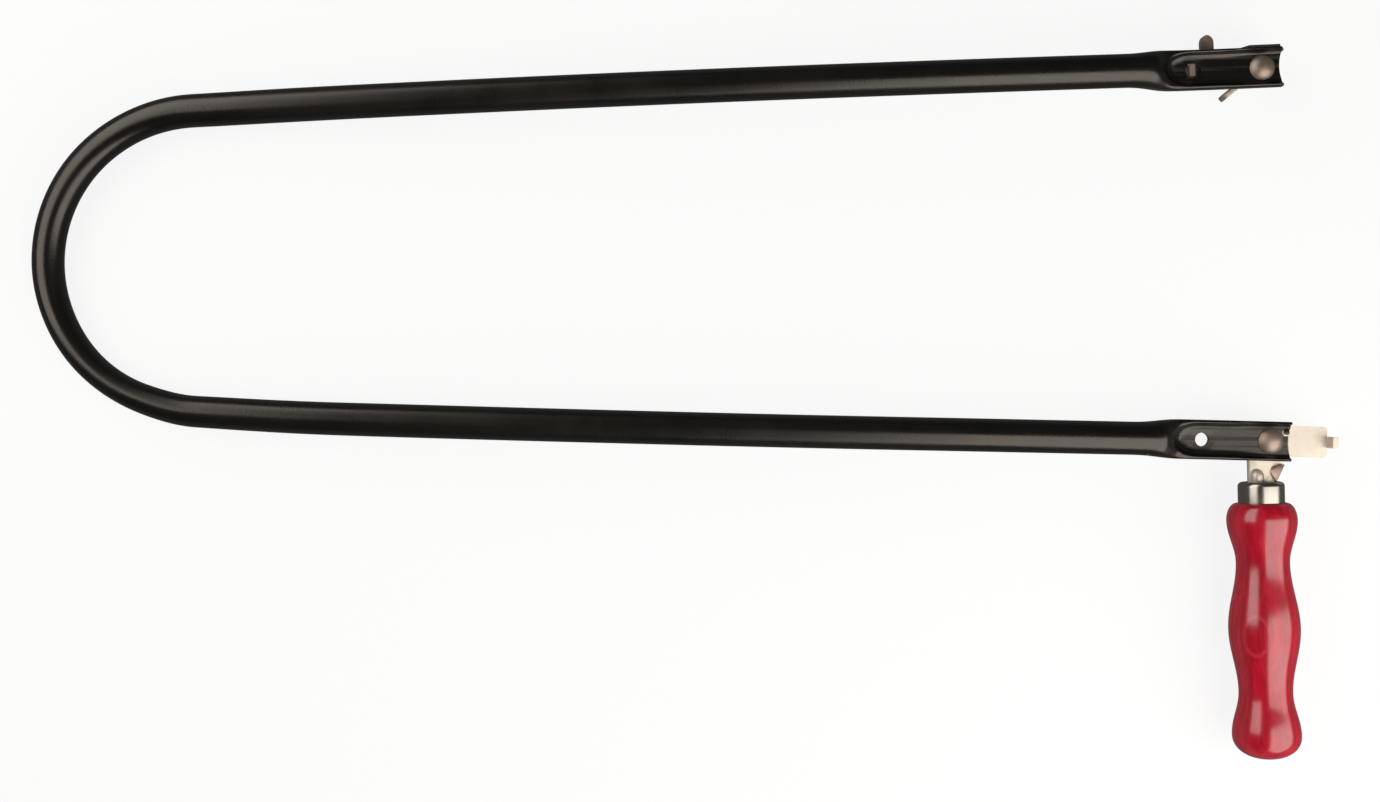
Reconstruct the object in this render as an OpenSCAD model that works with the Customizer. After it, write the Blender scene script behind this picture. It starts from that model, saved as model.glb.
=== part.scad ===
// Fret saw lying on its side, as on a bench: a tube bow, two blade clamps and a turned handle.
// Every piece is drawn round the middle of the bow's bend: X runs along the arms, Y across the
// throat and Z towards the side with the domed bolt heads. laid() then sets the saw down on its bolts.

/* [Bow tube] */
// Outside diameter of the bow tube
tube_d = 12; // [9:0.5:13.5]
// Wall of the bow tube
tube_wall = 1; // [0.6:0.1:1.4]
// Radius of the bend, along the middle of the tube
bend_r = 54; // [48:1:70]
// Length of the upper arm, from the bend to its clamp bolt
upper_arm_l = 383; // [280:1:440]
// Length of the lower arm, from the bend to its clamp bolt
lower_arm_l = 385; // [280:1:440]
// Angle at which the upper arm leaves the bend
upper_splay = 2.42; // [1:0.01:5]
// Angle at which the lower arm leaves the bend
lower_splay = 1.49; // [1:0.01:5]

/* [Pressed ends] */
// Width across the pressed end of an arm
end_w = 14.2; // [13:0.1:16]
// Thickness of the two walls that are pressed together
web_t = 2; // [1.6:0.1:2.6]
// Diameter of the thin seam left between the two walls
seam_d = 0.6; // [0.4:0.1:0.8]
// Height of the rims, from the back of the web
rim_h = 4.6; // [3.8:0.1:5.4]
// Width of a rim
rim_w = 1.9; // [1.5:0.1:2.2]
// Depth of the web's back behind the middle of the tube
web_drop = 5; // [4:0.1:5.6]
// Length over which the tube widens into the pressed end
flare_l = 20; // [14:0.5:26]
// Length of the trough, from its round end to the bolt
trough_l = 31.2; // [29:0.1:36]
// Length of the rims past the bolt
rim_over = 6.9; // [6.4:0.1:9]
// Depth of the hollow in the web's end, between the rims
end_hollow = 0.7; // [0.4:0.1:1]
// Diameter of the hole that takes the jaw's peg
peg_hole_d = 5.2; // [5:0.1:6]

/* [Clamps] */
// Diameter of the clamp bolts
bolt_d = 5; // [4:0.1:5.4]
// Diameter of the domed bolt head
head_d = 9; // [7.8:0.1:9.8]
// Height of the domed bolt head
head_h = 2.6; // [1.8:0.1:3.4]
// Width of the square neck under the head
neck_w = 5.4; // [5:0.1:5.8]
// Thickness of the jaws and of the handle bracket
jaw_t = 2; // [1.6:0.1:2.4]
// Width of a moving jaw
jaw_w = 11.1; // [9:0.1:12]
// Length of a moving jaw behind the bolt
jaw_back = 6.2; // [5.4:0.1:7]
// Corner radius of a moving jaw
jaw_corner = 1.6; // [0.8:0.1:2.4]
// Distance from the bolt to the middle of the peg
peg_reach = 24.6; // [22:0.1:27]
// Thickness of the peg
peg_t = 2.2; // [1.8:0.1:2.3]
// Width of the peg
peg_w = 4.4; // [3.6:0.1:4.4]
// Height of the peg over its jaw
peg_h = 5.4; // [4.6:0.1:6]
// Room under the frame for the peg when the opened jaw swings
peg_room = 0.4; // [0.3:0.1:1]
// Distance from the bolt to the middle of the upper jaw's thumb tongue
tongue_reach = 18.1; // [15:0.1:19]
// Width of the thumb tongue
tongue_w = 4.8; // [3.4:0.1:5.4]
// Distance of the tongue's tip from the middle of the jaw
tongue_out = 13.4; // [10:0.1:15]
// Length of the upper fixed jaw
fixed_jaw_l = 13.4; // [12:0.1:14]
// Thickness of the lip that keeps the upper fixed jaw from turning
lip_t = 1.1; // [0.8:0.1:1.6]
// Height of that lip over the back of the web
lip_h = 3.6; // [2:0.1:4.4]
// Diameter of the washers
washer_d = 10; // [8.5:0.1:11]
// Thickness of the washers
washer_t = 1; // [0.6:0.1:1.4]
// Radius of the wing nut, to the tips of its wings
wing_r = 14.1; // [11:0.1:14.2]
// Thickness of the wings
wing_t = 1.8; // [1.4:0.1:2.4]
// Height of the wing nut over its wings
nut_h = 8; // [7:0.1:9]
// Height of the wing nut's hub
hub_h = 4.2; // [3.2:0.1:5]
// Diameter of the wing nut's hub
hub_d = 8.6; // [7.4:0.1:9.4]
// Angle of the upper wing nut
upper_nut_turn = 38; // [0:1:180]
// Angle of the lower wing nut
lower_nut_turn = 0; // [0:1:180]

/* [Handle bracket] */
// Width of the bracket behind the lower arm
bracket_w = 14.7; // [14.4:0.1:16]
// Width of the tang at the ferrule
tang_w = 9.4; // [8:0.1:10.4]
// Width of the tang at its end
tang_tip_w = 5; // [3:0.1:7]
// Length of the tang inside the ferrule and handle
tang_l = 38; // [24:1:60]
// Length of the bracket over the bolt
bracket_top = 6.5; // [5.6:0.1:7]
// Distance from the bolt to where the bracket starts to narrow
bracket_neck = 3.8; // [2:0.1:6]
// Radius of the raised rib on the bracket
rib_r = 2.4; // [1.8:0.1:2.8]
// Distance of the rib from the middle of the tang
rib_side = 1.7; // [0:0.1:2]
// Distance from the bolt to the rib's round end
rib_drop = 10.2; // [8:0.1:11]
// Thickness of the folded edge beside the rib
fold_t = 1.2; // [0.8:0.1:1.6]
// Height of the folded edge
fold_h = 2.4; // [1.4:0.1:3]
// Distance from the bolt to where the folded edge starts
fold_drop = 8.4; // [7.6:0.1:10]
// Radius of the small stud that stops the bracket from turning
stud_r = 1.5; // [1:0.1:1.8]

/* [Ferrule and handle] */
// Distance from the lower bolt to the top of the ferrule
ferrule_drop = 14.6; // [14.5:0.1:20]
// Distance of the handle's middle line from the bolt
handle_side = 2.8; // [1:0.1:3.2]
// Outside diameter of the ferrule
ferrule_d = 16.2; // [15:0.1:18]
// Length of the ferrule
ferrule_l = 7.6; // [6:0.1:12]
// Wall of the ferrule
ferrule_wall = 0.8; // [0.5:0.1:1.2]
// Radius of the ferrule's rounded shoulder
shoulder_r = 1.6; // [1:0.1:2]
// Diameter of the ferrule's mouth
mouth_d = 12.4; // [11.6:0.1:13]
// Length of the turned handle under the ferrule
handle_l = 92.2; // [80:0.1:120]
// Largest diameter of the handle
belly_d = 24.9; // [22:0.1:30]

/* [Hidden] */
$fn = 96;

// Running clearance between a bolt and what turns or slides on it
turn_gap = 0.05;
// Clearance round the bolt where it only passes through
bolt_gap = 0.2;
// Clearance of the square neck, the stud and the lip
fit_gap = 0.05;
// Overrun of a cut past the face that it leaves
cut_over = 1;

// Levels, from the web down to the end of the bolts
web_back = -web_drop;
web_front = web_back + web_t;
rim_top = web_back + rim_h;
jaw_face = web_back - jaw_t;
backed_off = peg_h + peg_room - jaw_t;
upper_jaw_top = jaw_face;
lower_jaw_top = jaw_face - backed_off;
bolt_end = lower_jaw_top - jaw_t - washer_t - nut_h;
handle_z = web_back - jaw_t / 2;

// Places along the arms
function arm_point(side, splay, s) =
    [-bend_r * sin(splay) + s * cos(splay), side * (bend_r * cos(splay) + s * sin(splay))];
upper_bolt_at = arm_point(1, upper_splay, upper_arm_l);
lower_bolt_at = arm_point(-1, lower_splay, lower_arm_l);
// The handle stands in line with the blade, from bolt to bolt
blade_line = lower_bolt_at - upper_bolt_at;
handle_lean = atan2(blade_line[0], -blade_line[1]);

// How the saw lies: on the bolts' ends and on the bow's far end
lying_span = min(upper_bolt_at[0], lower_bolt_at[0]) + bend_r;
lying_tilt = asin((-bolt_end - tube_d / 2) / lying_span);
lying_lift = tube_d / 2 + bend_r * sin(lying_tilt);
peg_end = peg_reach + peg_t / 2;
left_end = -(bend_r * cos(lying_tilt) + tube_d / 2);
right_end = (lower_bolt_at[0] + peg_end * cos(lower_splay)) * cos(lying_tilt)
    - lower_jaw_top * sin(lying_tilt);
handle_foot = ferrule_drop + ferrule_l + handle_l;
upper_edge = upper_bolt_at[1] + tongue_out * cos(upper_splay) - tongue_reach * sin(upper_splay);
lower_edge = lower_bolt_at[1] - handle_foot * cos(handle_lean);
middle = [(left_end + right_end) / 2, (upper_edge + lower_edge) / 2];

module laid() {
    translate([-middle[0], -middle[1], lying_lift])
        rotate([0, -lying_tilt, 0])
            children();
}

module at_upper_bolt() {
    translate(upper_bolt_at) rotate([0, 0, upper_splay]) children();
}

module at_lower_bolt() {
    translate(lower_bolt_at) rotate([0, 0, -lower_splay]) children();
}

module at_handle() {
    translate(lower_bolt_at) rotate([0, 0, handle_lean]) children();
}

half_w = end_w / 2;
floor_w = half_w - rim_w;
back_edge = rim_w / 2;
rim_edge = rim_w / 4;
flare_start = -trough_l - flare_l;

// Pressed end of an arm, drawn from the bolt: rims along both sides of a trough with a round end
module channel_section(inset) {
    side = half_w - inset;
    low = web_back + inset;
    high = rim_top - inset;
    polygon([
        [-side + back_edge, low], [side - back_edge, low], [side, low + back_edge],
        [side, high - rim_edge], [side - rim_edge, high], [-side + rim_edge, high],
        [-side, high - rim_edge], [-side, low + back_edge]
    ]);
}

module channel_bar(from, to, inset) {
    translate([from, 0, 0]) rotate([90, 0, 90]) linear_extrude(height = to - from) channel_section(inset);
}

module channel() {
    difference() {
        channel_bar(-trough_l, rim_over, 0);
        translate([0, 0, web_front]) linear_extrude(height = rim_h) union() {
            translate([-trough_l + rim_edge + floor_w, 0]) circle(r = floor_w);
            translate([-trough_l + rim_edge + floor_w, -floor_w]) square([trough_l + rim_over, 2 * floor_w]);
        }
    }
}

// Frame of reference at a place on an arm: side is 1 for the upper arm and -1 for the lower one
module at_arm(side, splay, s) {
    translate(arm_point(side, splay, s)) rotate([0, 0, side * splay]) children();
}

// Flare from the round tube to the flat section. Both its ends are let into what they join.
let_in_share = 0.15;
let_in = tube_wall * let_in_share;
module flare() {
    $fn = 32;
    hull() {
        translate([flare_start, 0, 0])
            rotate([0, -90, 0])
                cylinder(h = tube_wall, r = tube_d / 2 - let_in);
        channel_bar(-trough_l + let_in, -trough_l + 2 * let_in, let_in);
    }
}

// The bore of the tube narrows to a point as the walls close, and a thin seam runs on to the peg hole
bore_r = tube_d / 2 - tube_wall;
seam_z = (web_front + web_back) / 2;
seam_lap = flare_l / 4;
run_out_share = 1.1;
module pressed_hollow() {
    narrowing = norm([flare_l, seam_z]);
    translate([-trough_l, 0, seam_z])
        rotate([0, -90 - atan2(seam_z, flare_l), 0])
            cylinder(h = narrowing * run_out_share, r1 = seam_d / 2, r2 = bore_r * run_out_share);
    translate([-trough_l - seam_lap, 0, seam_z])
        rotate([0, 90, 0])
            cylinder(h = trough_l + seam_lap - peg_reach, d = seam_d);
}

// Wall of the tube. The bend's wall is a little thinner, and its ends are let into the arms.
module tube_ring(inset) {
    difference() {
        circle(r = tube_d / 2 - inset);
        circle(r = bore_r + inset);
    }
}

module arm(side, splay, arm_l) {
    at_arm(side, splay, arm_l) {
        translate([-arm_l, 0, 0])
            rotate([0, 90, 0])
                linear_extrude(height = arm_l + flare_start)
                    tube_ring(0);
        difference() {
            union() {
                flare();
                channel();
            }
            pressed_hollow();
            clamp_cuts();
        }
    }
}

module bend() {
    let_in_angle = tube_wall / bend_r * 180 / PI;
    rotate([0, 0, 90 + upper_splay - let_in_angle])
        rotate_extrude(angle = 180 - upper_splay - lower_splay + 2 * let_in_angle)
            translate([bend_r, 0])
                tube_ring(let_in);
}

// Holes for the bolt's square neck and for the peg, and the hollow end of the web
module clamp_cuts() {
    neck_hole = neck_w + 2 * fit_gap;
    translate([-neck_hole / 2, -neck_hole / 2, web_back - cut_over])
        cube([neck_hole, neck_hole, web_t + 2 * cut_over]);
    translate([-peg_reach, 0, web_back - cut_over])
        cylinder(h = web_t + 2 * cut_over, d = peg_hole_d);
    hollow_half = floor_w - rim_edge;
    hollow_r = (pow(hollow_half, 2) + pow(end_hollow, 2)) / (2 * end_hollow);
    translate([rim_over - end_hollow + hollow_r, 0, web_back - cut_over])
        cylinder(h = web_t + 2 * cut_over, r = hollow_r);
}

module bow_tube() {
    color("#2a2725") difference() {
        union() {
            bend();
            arm(1, upper_splay, upper_arm_l);
            arm(-1, lower_splay, lower_arm_l);
        }
        at_lower_bolt() stud_notch();
    }
}

// The stud of the bracket stands in a round notch at the web's end
stud_at = [rim_over - end_hollow - stud_r / 2, floor_w - stud_r - rim_edge];
module stud_notch() {
    translate([stud_at[0], stud_at[1], web_back - cut_over])
        cylinder(h = web_t + 2 * cut_over, r = stud_r + fit_gap);
}

// Carriage bolt: domed head, square neck in the web, and shank
module clamp_bolt() {
    dome_r = (pow(head_h, 2) + pow(head_d / 2, 2)) / (2 * head_h);
    color("#8d7d6c") union() {
        intersection() {
            translate([0, 0, web_front + head_h - dome_r]) sphere(r = dome_r);
            translate([0, 0, web_front]) cylinder(h = head_h + cut_over, d = head_d);
        }
        translate([-neck_w / 2, -neck_w / 2, web_back]) cube([neck_w, neck_w, web_t]);
        translate([0, 0, bolt_end]) cylinder(h = web_back - bolt_end, d = bolt_d);
    }
}

module upper_bolt() {
    at_upper_bolt() clamp_bolt();
}

module lower_bolt() {
    at_lower_bolt() clamp_bolt();
}

// Upper fixed jaw: a plate on the web's back, with a lip along the side of the arm
module upper_fixed_jaw() {
    jaw_low = -half_w + back_edge;
    jaw_high = half_w + fit_gap + lip_t;
    color("#34322c") at_upper_bolt() difference() {
        union() {
            translate([-fixed_jaw_l / 2, jaw_low, jaw_face])
                cube([fixed_jaw_l, jaw_high - jaw_low, jaw_t]);
            translate([-fixed_jaw_l / 2, half_w + fit_gap, jaw_face])
                cube([fixed_jaw_l, lip_t, jaw_t + lip_h]);
        }
        bolt_hole(jaw_face, jaw_t, bolt_gap);
    }
}

module bolt_hole(low, thickness, gap) {
    translate([0, 0, low - cut_over]) cylinder(h = thickness + 2 * cut_over, r = bolt_d / 2 + gap);
}

// A plate with rounded corners, from x_low to x_high and w wide
module rounded_plate(x_low, x_high, w, r, t) {
    linear_extrude(height = t) union() {
        translate([x_low + r, -w / 2]) square([x_high - x_low - 2 * r, w]);
        translate([x_low, -w / 2 + r]) square([x_high - x_low, w - 2 * r]);
        for (x = [x_low + r, x_high - r], y = [-w / 2 + r, w / 2 - r])
            translate([x, y]) circle(r = r);
    }
}

// Moving jaw with its bent peg, drawn with the peg in its closed place, left of the bolt
module moving_jaw(top, tongue) {
    peg_face = -peg_reach - peg_t / 2;
    difference() {
        union() {
            translate([0, 0, top - jaw_t])
                rounded_plate(peg_face + peg_t, jaw_back, jaw_w, jaw_corner, jaw_t);
            translate([peg_face, -peg_w / 2, top - jaw_t]) cube([peg_t + jaw_corner, peg_w, jaw_t]);
            translate([peg_face, -peg_w / 2, top - jaw_t]) cube([peg_t, peg_w, jaw_t + peg_h]);
            if (tongue)
                translate([-tongue_reach, 0, top - jaw_t]) {
                    translate([-tongue_w / 2, 0, 0]) cube([tongue_w, tongue_out - tongue_w / 2, jaw_t]);
                    translate([0, tongue_out - tongue_w / 2, 0]) cylinder(h = jaw_t, d = tongue_w);
                }
        }
        bolt_hole(top - jaw_t, jaw_t, turn_gap);
    }
}

module upper_moving_jaw() {
    color("#b8a792") at_upper_bolt() moving_jaw(upper_jaw_top, true);
}

module lower_moving_jaw() {
    color("#e8dcc4") at_lower_bolt() rotate([0, 0, 180]) moving_jaw(lower_jaw_top, false);
}

module washer(top) {
    color("#c9bda8") difference() {
        translate([0, 0, top - washer_t]) cylinder(h = washer_t, d = washer_d);
        bolt_hole(top - washer_t, washer_t, turn_gap);
    }
}

module upper_washer() {
    at_upper_bolt() washer(upper_jaw_top - jaw_t);
}

module lower_washer() {
    at_lower_bolt() washer(lower_jaw_top - jaw_t);
}

// Wing nut: a round hub with two ears that stand away from the jaw
ear_share = 0.4;
ear_r = nut_h * ear_share;
ear_rise = washer_t / 2;
module wing_outline() {
    ear_mid = [wing_r - ear_r, -nut_h + ear_r];
    union() {
        translate(ear_mid) circle(r = ear_r);
        polygon([
            [0, -hub_h], [0, -ear_rise], [ear_mid[0], -ear_rise], [wing_r, -nut_h + ear_r],
            [ear_mid[0], -nut_h], [hub_d / 2, -hub_h]
        ]);
    }
}

module wing_nut(top, turn) {
    color("#b3a28c") rotate([0, 0, turn]) difference() {
        union() {
            translate([0, 0, top - hub_h]) cylinder(h = hub_h, d = hub_d);
            for (side = [0, 180])
                rotate([0, 0, side])
                    translate([0, wing_t / 2, top])
                        rotate([90, 0, 0])
                            linear_extrude(height = wing_t) wing_outline();
        }
        translate([0, 0, top - nut_h - cut_over])
            cylinder(h = nut_h + 2 * cut_over, r = bolt_d / 2 + turn_gap);
    }
}

module upper_wing_nut() {
    at_upper_bolt() wing_nut(upper_jaw_top - jaw_t - washer_t, upper_nut_turn);
}

module lower_wing_nut() {
    at_lower_bolt() wing_nut(lower_jaw_top - jaw_t - washer_t, lower_nut_turn);
}

// Outline of the tang, which the handle's slot repeats
tang_left = -handle_side - tang_w / 2;
tang_right = tang_left + tang_w;
tang_foot = -ferrule_drop - tang_l;
module tang_outline() {
    polygon([
        [tang_left, -ferrule_drop], [tang_right, -ferrule_drop],
        [-handle_side + tang_tip_w / 2, tang_foot], [-handle_side - tang_tip_w / 2, tang_foot]
    ]);
}

module tang() {
    translate([0, 0, jaw_face]) linear_extrude(height = jaw_t) tang_outline();
}

// Raised rib with a round end, from the bracket down into the ferrule
rib_top = -rib_drop - rib_r;
rib_foot = -ferrule_drop - ferrule_l / 2;
module rib() {
    intersection() {
        translate([-handle_side - rib_side, rib_foot, web_back])
            rotate([-90, 0, 0])
                rotate_extrude()
                    intersection() {
                        union() {
                            square([rib_r, rib_top - rib_foot]);
                            translate([0, rib_top - rib_foot]) circle(r = rib_r);
                        }
                        square([rib_r, rib_top - rib_foot + rib_r]);
                    }
        translate([tang_left, rib_foot - cut_over, jaw_face + jaw_t / 2])
            cube([tang_w, rib_top - rib_foot + rib_r + cut_over, jaw_t + rib_r]);
    }
}

// Bracket: the lower fixed jaw, its neck and the tang, pressed from one plate
module handle_bracket() {
    bracket_right = tang_left + bracket_w;
    neck_fall = ferrule_drop - bracket_neck;
    neck_step = bracket_right - tang_right;
    neck_turn = atan2(neck_step, neck_fall);
    fold_share = (fold_drop - bracket_neck) / neck_fall;
    fold_l = norm([neck_step, neck_fall]) * (1 - fold_share) - fit_gap;
    color("#e3d6bd") difference() {
        union() {
            at_handle() {
                translate([0, 0, jaw_face]) linear_extrude(height = jaw_t)
                    polygon([
                        [tang_left, bracket_top], [bracket_right, bracket_top], [bracket_right, -bracket_neck],
                        [tang_right, -ferrule_drop], [tang_left, -ferrule_drop]
                    ]);
                tang();
                rib();
                translate([bracket_right - neck_step * fold_share, -fold_drop, web_back - jaw_t / 2])
                    rotate([0, 0, -90 - neck_turn])
                        translate([0, -fold_t, 0])
                            cube([fold_l, fold_t, fold_h + jaw_t / 2]);
            }
            at_lower_bolt()
                translate([stud_at[0], stud_at[1], web_back - jaw_t / 2])
                    cylinder(h = web_t + jaw_t / 2, r = stud_r);
        }
        at_lower_bolt() bolt_hole(jaw_face, jaw_t, bolt_gap);
    }
}

// Ferrule: a drawn cup with a rounded shoulder and an open mouth
module ferrule() {
    outer = ferrule_d / 2;
    inner = outer - ferrule_wall;
    color("#b9aea2") at_handle() translate([-handle_side, -ferrule_drop, handle_z])
        rotate([90, 0, 0])
            rotate_extrude() difference() {
                union() {
                    translate([0, shoulder_r]) square([outer, ferrule_l - shoulder_r]);
                    square([outer - shoulder_r, ferrule_l]);
                    translate([outer - shoulder_r, shoulder_r]) circle(r = shoulder_r);
                }
                translate([0, ferrule_wall]) square([inner, ferrule_l]);
                square([mouth_d / 2, ferrule_l]);
                translate([-outer, -cut_over]) square([outer, ferrule_l + 2 * cut_over]);
            }
}

// Turned profile: places down the handle and radii, both as shares, then the rounded foot
turning_shares = [[0.068, 0.984], [0.234, 0.747], [0.491, 1], [0.741, 0.752], [0.907, 0.965]];
shoulder_share = 0.69;
foot_power = 2.2;
turning_steps = 8;
function turned(a, b, t) = a[1] + (b[1] - a[1]) * (1 - cos(180 * t)) / 2;
belly_r = belly_d / 2;
handle_turning = concat(
    [for (i = [0:turning_steps]) let (t = i / turning_steps, first = turning_shares[0])
        [belly_r * (shoulder_share + (first[1] - shoulder_share) * sin(90 * t)),
            handle_l * first[0] * (1 - cos(90 * t))]],
    [for (k = [0:len(turning_shares) - 2], i = [1:turning_steps])
        let (a = turning_shares[k], b = turning_shares[k + 1], t = i / turning_steps)
        [belly_r * turned(a, b, t), handle_l * (a[0] + (b[0] - a[0]) * t)]],
    [for (i = [1:turning_steps]) let (
            t = i / turning_steps,
            last = turning_shares[len(turning_shares) - 1],
            down = sin(90 * t)
        )
        [belly_r * last[1] * pow(1 - pow(down, foot_power), 1 / foot_power),
            handle_l * (last[0] + (1 - last[0]) * down)]]
);

module handle() {
    spigot_r = ferrule_d / 2 - ferrule_wall;
    spigot_top = shoulder_r;
    color("#b4122f") difference() {
        at_handle() translate([-handle_side, -ferrule_drop, handle_z])
            rotate([90, 0, 0]) {
                rotate_extrude()
                    translate([0, ferrule_l])
                        polygon(concat([[0, 0]], handle_turning));
                translate([0, 0, spigot_top]) cylinder(h = ferrule_l - spigot_top, r = spigot_r);
            }
        at_handle() {
            tang();
            rib();
        }
    }
}

laid() bow_tube();
laid() upper_bolt();
laid() upper_fixed_jaw();
laid() upper_moving_jaw();
laid() upper_washer();
laid() upper_wing_nut();
laid() lower_bolt();
laid() handle_bracket();
laid() lower_moving_jaw();
laid() lower_washer();
laid() lower_wing_nut();
laid() ferrule();
laid() handle();
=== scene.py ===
import math

import bmesh
import bpy
from mathutils import Matrix, Vector


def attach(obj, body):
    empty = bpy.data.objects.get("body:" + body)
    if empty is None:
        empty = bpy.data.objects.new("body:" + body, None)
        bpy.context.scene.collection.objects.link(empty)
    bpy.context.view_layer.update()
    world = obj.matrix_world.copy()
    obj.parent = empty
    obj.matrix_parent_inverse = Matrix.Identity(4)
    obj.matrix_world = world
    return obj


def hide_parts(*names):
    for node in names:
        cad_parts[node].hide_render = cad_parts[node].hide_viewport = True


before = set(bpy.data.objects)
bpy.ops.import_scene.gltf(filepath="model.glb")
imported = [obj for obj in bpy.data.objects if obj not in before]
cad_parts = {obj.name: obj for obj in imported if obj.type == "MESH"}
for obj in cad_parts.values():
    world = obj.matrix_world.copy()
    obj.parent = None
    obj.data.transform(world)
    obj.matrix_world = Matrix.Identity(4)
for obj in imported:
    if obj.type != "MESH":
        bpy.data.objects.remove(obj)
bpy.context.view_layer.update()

# Studio: the saw lies on a white sweep, seen from straight over its own plane. Every piece is drawn in
# millimetres round the middle of the bow's bend, with X along the arms and Z towards the domed bolt heads,
# and `lying` sets it down as it rests on the bolts' ends and the bow's far end.
LYING_TILT = math.radians(2.0845264324)
SAW_MIDDLE = (174.6574067, -47.8074087)
SAW_LIFT = 7.9641865

lying = (
    Matrix.Scale(0.001, 4)
    @ Matrix.Translation((-SAW_MIDDLE[0], -SAW_MIDDLE[1], SAW_LIFT))
    @ Matrix.Rotation(-LYING_TILT, 4, "Y")
)


class Reading:
    """A value, colour or place somewhere in a tree of nodes, which can be written in sums."""

    def __init__(self, nodes, socket):
        self.nodes, self.socket = nodes, socket

    def sum(self, operation, a, b=0):
        return self.nodes.node("ShaderNodeMath", {"operation": operation}, {0: a, 1: b})

    def __add__(self, other):
        return self.sum("ADD", self, other)

    def __sub__(self, other):
        return self.sum("SUBTRACT", self, other)

    def __rsub__(self, other):
        return self.sum("SUBTRACT", other, self)

    def __mul__(self, other):
        return self.sum("MULTIPLY", self, other)

    def __truediv__(self, other):
        return self.sum("DIVIDE", self, other)

    def __rtruediv__(self, other):
        return self.sum("DIVIDE", other, self)

    def least(self, other):
        return self.sum("MINIMUM", self, other)

    def whole(self):
        return self.sum("ROUND", self)

    def cosine(self):
        return self.sum("COSINE", self)

    def sine(self):
        return self.sum("SINE", self)

    __radd__ = __add__
    __rmul__ = __mul__


class Nodes:
    """A tree of nodes that is built up from empty."""

    def __init__(self, tree):
        self.tree = tree
        tree.nodes.clear()

    def node(self, kind, settings, inputs, output=0):
        """Adds a node with its settings and the values or links of its sockets, and reads one output."""
        made = self.tree.nodes.new(kind)
        for name, value in settings.items():
            setattr(made, name, value)
        for name, value in inputs.items():
            if isinstance(value, Reading):
                self.tree.links.new(value.socket, made.inputs[name])
            else:
                made.inputs[name].default_value = value
        return Reading(self, made.outputs[output])

    def end(self, kind, socket, reading):
        """Adds the node that the tree ends in, with what it shows."""
        self.tree.links.new(reading.socket, self.tree.nodes.new(kind).inputs[socket])


class Finish(Nodes):
    """A finish of the saw, with the shader that shows it."""

    def __init__(self, name):
        self.material = bpy.data.materials.new(name)
        self.material.use_nodes = True
        super().__init__(self.material.node_tree)

    def place(self, centre=(0, 0, 0), turn=(0, 0, 0), grain=(1, 1, 1)):
        """Object coordinates from a centre and turn, with a grain that is drawn out along an axis."""
        here = self.node("ShaderNodeTexCoord", {}, {}, "Object")
        return self.node(
            "ShaderNodeMapping",
            {"vector_type": "TEXTURE"},
            {"Vector": here, "Location": centre, "Rotation": turn, "Scale": grain},
        )

    def distance(self, at):
        """How far a place is from the centre of its coordinates."""
        return self.node("ShaderNodeVectorMath", {"operation": "LENGTH"}, {0: at}, 1)

    def noise(self, at, scale, detail=3, roughness=0.5):
        inputs = {"Vector": at, "Scale": scale, "Detail": detail, "Roughness": roughness}
        return self.node("ShaderNodeTexNoise", {}, inputs)

    def between(self, value, low, high, at_low=0, at_high=1):
        return self.node(
            "ShaderNodeMapRange",
            {"interpolation_type": "SMOOTHSTEP"},
            {"Value": value, "From Min": low, "From Max": high, "To Min": at_low, "To Max": at_high},
        )

    def blend(self, share, first, second):
        first, second = [c if isinstance(c, Reading) else (*c, 1) for c in (first, second)]
        return self.node("ShaderNodeMix", {"data_type": "RGBA"}, {0: share, 6: first, 7: second}, 2)

    def relief(self, height, strength, depth):
        return self.node("ShaderNodeBump", {}, {"Height": height, "Strength": strength, "Distance": depth})

    def show(self, **looks):
        """Puts the shader on the surface. Its sockets go by their names, written with underscores."""
        inputs = {name.replace("_", " "): value for name, value in looks.items()}
        shader = self.node("ShaderNodeBsdfPrincipled", {}, inputs)
        self.end("ShaderNodeOutputMaterial", "Surface", shader)


def new_object(name, data):
    made = bpy.data.objects.new(name, data)
    bpy.context.scene.collection.objects.link(made)
    return made


# The sweep is white to the eye and through clear things, and dimmer in what mirrors it, so that the edges of
# the bright pieces stay dark. It keeps the saw's shadow.
SWEEP_GLOW, SWEEP_SHINE, SWEEP_WHITE, SWEEP_HALF = 0.86, 0.13, 0.9, 6
sweep = Finish("white_sweep")
seen, shone, passed = [
    sweep.node("ShaderNodeLightPath", {}, {}, f"Is {ray} Ray") for ray in ("Camera", "Glossy", "Transmission")
]
shade = sweep.blend(shone, (1, 1, 1), (SWEEP_SHINE,) * 3)
glow = sweep.node("ShaderNodeEmission", {}, {"Color": shade, "Strength": 1})
paper = sweep.node("ShaderNodeBsdfDiffuse", {}, {"Color": (SWEEP_WHITE, SWEEP_WHITE, SWEEP_WHITE, 1)})
share = (seen + passed).least(1) * SWEEP_GLOW + shone
lit = sweep.node("ShaderNodeMixShader", {}, {0: share, 1: paper, 2: glow})
sweep.end("ShaderNodeOutputMaterial", "Surface", lit)

corners = [(x * SWEEP_HALF, y * SWEEP_HALF, 0) for x, y in ((-1, -1), (1, -1), (1, 1), (-1, 1))]
floor_mesh = bpy.data.meshes.new("sweep")
floor_mesh.from_pydata(corners, [], [(0, 1, 2, 3)])
floor_mesh.materials.append(sweep.material)
floor = new_object("sweep", floor_mesh)

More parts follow.
